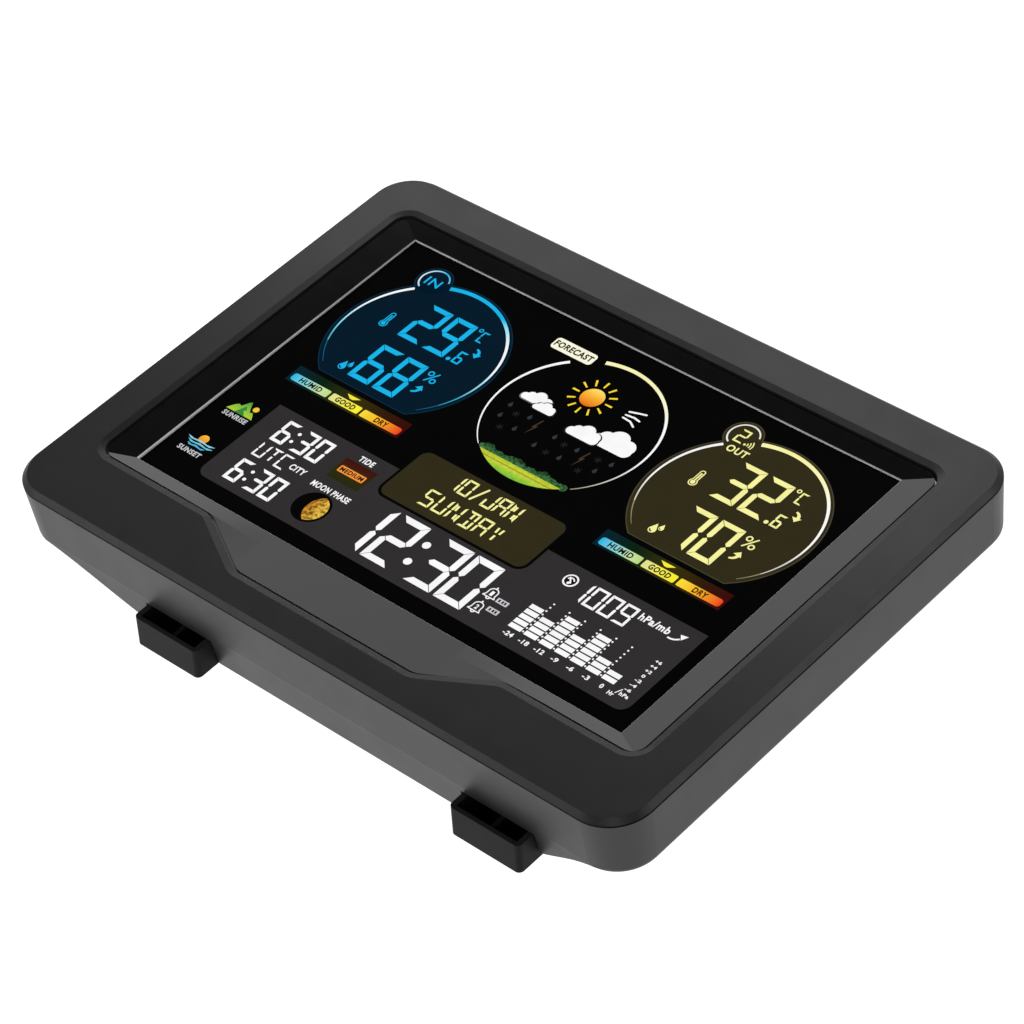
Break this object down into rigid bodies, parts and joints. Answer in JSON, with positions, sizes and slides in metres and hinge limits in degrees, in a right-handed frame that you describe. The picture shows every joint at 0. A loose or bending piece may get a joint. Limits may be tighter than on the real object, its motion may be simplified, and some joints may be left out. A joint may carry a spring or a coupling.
{
  "type": "home weather station",
  "caption": "Flat black home weather station with a sunken colour display, a glossy sloped bezel, fold-out stand legs, rear keys and a battery door.",
  "frame": {"origin": "under the middle of the whole outline, on the plane of the back", "axes": "+X across the face to the right, +Y towards the top edge of the face, +Z out of the face; the station lies on its back"},
  "size_m": [0.2, 0.1474, 0.0274],
  "materials": {
    "frame_plastic": "matt black, finely textured",
    "bezel_plastic": "polished black",
    "case_plastic": "satin black",
    "door_plastic": "satin black",
    "leg_plastic": "matt black",
    "key_plastic": "satin dark grey",
    "display_film": "dark anti-glare film with lit segments",
    "display_glass": "clear glass cell",
    "clear_acrylic": "clear acrylic",
    "white_plastic": "white reflector",
    "led_resin": "yellow resin",
    "contact_rubber": "striped silicone rubber",
    "circuit_board": "green solder mask",
    "chip_resin": "black moulded resin",
    "steel_can": "satin steel",
    "aluminium_can": "satin aluminium",
    "receiver_shield": "tinned steel",
    "ferrite": "dull sintered ferrite",
    "copper_wire": "enamelled copper winding",
    "copper_foil": "bright copper",
    "buzzer_plastic": "matt black",
    "sensor_plastic": "white moulded plastic",
    "switch_steel": "satin steel with dark stud",
    "jack_plastic": "matt black",
    "contact_steel": "nickel plated spring steel",
    "screw_steel": "dark zinc plated steel",
    "pin_steel": "ground steel",
    "battery_wrap": "blue printed sleeve over steel"
  },
  "bodies": {
    "housing": {"outer_frame": "frame_plastic", "inner_bezel": "bezel_plastic", "display_polariser": "display_film", "lcd_glass": "display_glass", "light_guide": "clear_acrylic", "backlight_tray": "white_plastic", "backlight_leds": "led_resin", "zebra_connector": "contact_rubber", "main_board": "circuit_board", "controller_chip": "chip_resin", "clock_crystal": "steel_can", "capacitors": "aluminium_can", "small_components": "chip_resin", "receiver_module": "receiver_shield", "ferrite_rod": "ferrite", "antenna_coil": "copper_wire", "buzzer": "buzzer_plastic", "humidity_sensor": "sensor_plastic", "pressure_sensor": "steel_can", "touch_plate": "copper_foil", "key_switches": "switch_steel", "power_jack": "jack_plastic", "rear_case": "case_plastic", "contact_plates": "contact_steel", "contact_springs": "contact_steel", "case_screws": "screw_steel", "board_screws": "screw_steel", "left_leg_pin": "pin_steel", "right_leg_pin": "pin_steel", "battery_1": "battery_wrap", "battery_2": "battery_wrap", "battery_3": "battery_wrap"},
    "battery_door": {"battery_door": "door_plastic"},
    "left_leg": {"left_leg": "leg_plastic"},
    "right_leg": {"right_leg": "leg_plastic"},
    "key_1": {"key_1": "key_plastic"},
    "key_2": {"key_2": "key_plastic"},
    "key_3": {"key_3": "key_plastic"},
    "key_4": {"key_4": "key_plastic"},
    "key_5": {"key_5": "key_plastic"},
    "key_6": {"key_6": "key_plastic"}
  },
  "joints": [
    {"name": "left_leg_hinge", "type": "hinge", "parent": "housing", "child": "left_leg", "pos_m": [-0.0435, -0.0071, 0.00475], "axis": [1, 0, 0], "range_deg": [0, 35]},
    {"name": "right_leg_hinge", "type": "hinge", "parent": "housing", "child": "right_leg", "pos_m": [0.0605, -0.0071, 0.00475], "axis": [1, 0, 0], "range_deg": [0, 35]},
    {"name": "battery_door_hinge", "type": "hinge", "parent": "housing", "child": "battery_door", "pos_m": [0.00575, 0.0026, 0.0018], "axis": [1, 0, 0], "range_deg": [0, 95]},
    {"name": "key_1_press", "type": "slide", "parent": "housing", "child": "key_1", "axis": [0, 0, 1], "range_m": [0, 0.0008], "stiffness_N_per_m": 300},
    {"name": "key_2_press", "type": "slide", "parent": "housing", "child": "key_2", "axis": [0, 0, 1], "range_m": [0, 0.0008], "stiffness_N_per_m": 300},
    {"name": "key_3_press", "type": "slide", "parent": "housing", "child": "key_3", "axis": [0, 0, 1], "range_m": [0, 0.0008], "stiffness_N_per_m": 300},
    {"name": "key_4_press", "type": "slide", "parent": "housing", "child": "key_4", "axis": [0, 0, 1], "range_m": [0, 0.0008], "stiffness_N_per_m": 300},
    {"name": "key_5_press", "type": "slide", "parent": "housing", "child": "key_5", "axis": [0, 0, 1], "range_m": [0, 0.0008], "stiffness_N_per_m": 300},
    {"name": "key_6_press", "type": "slide", "parent": "housing", "child": "key_6", "axis": [0, 0, 1], "range_m": [0, 0.0008], "stiffness_N_per_m": 300}
  ]
}
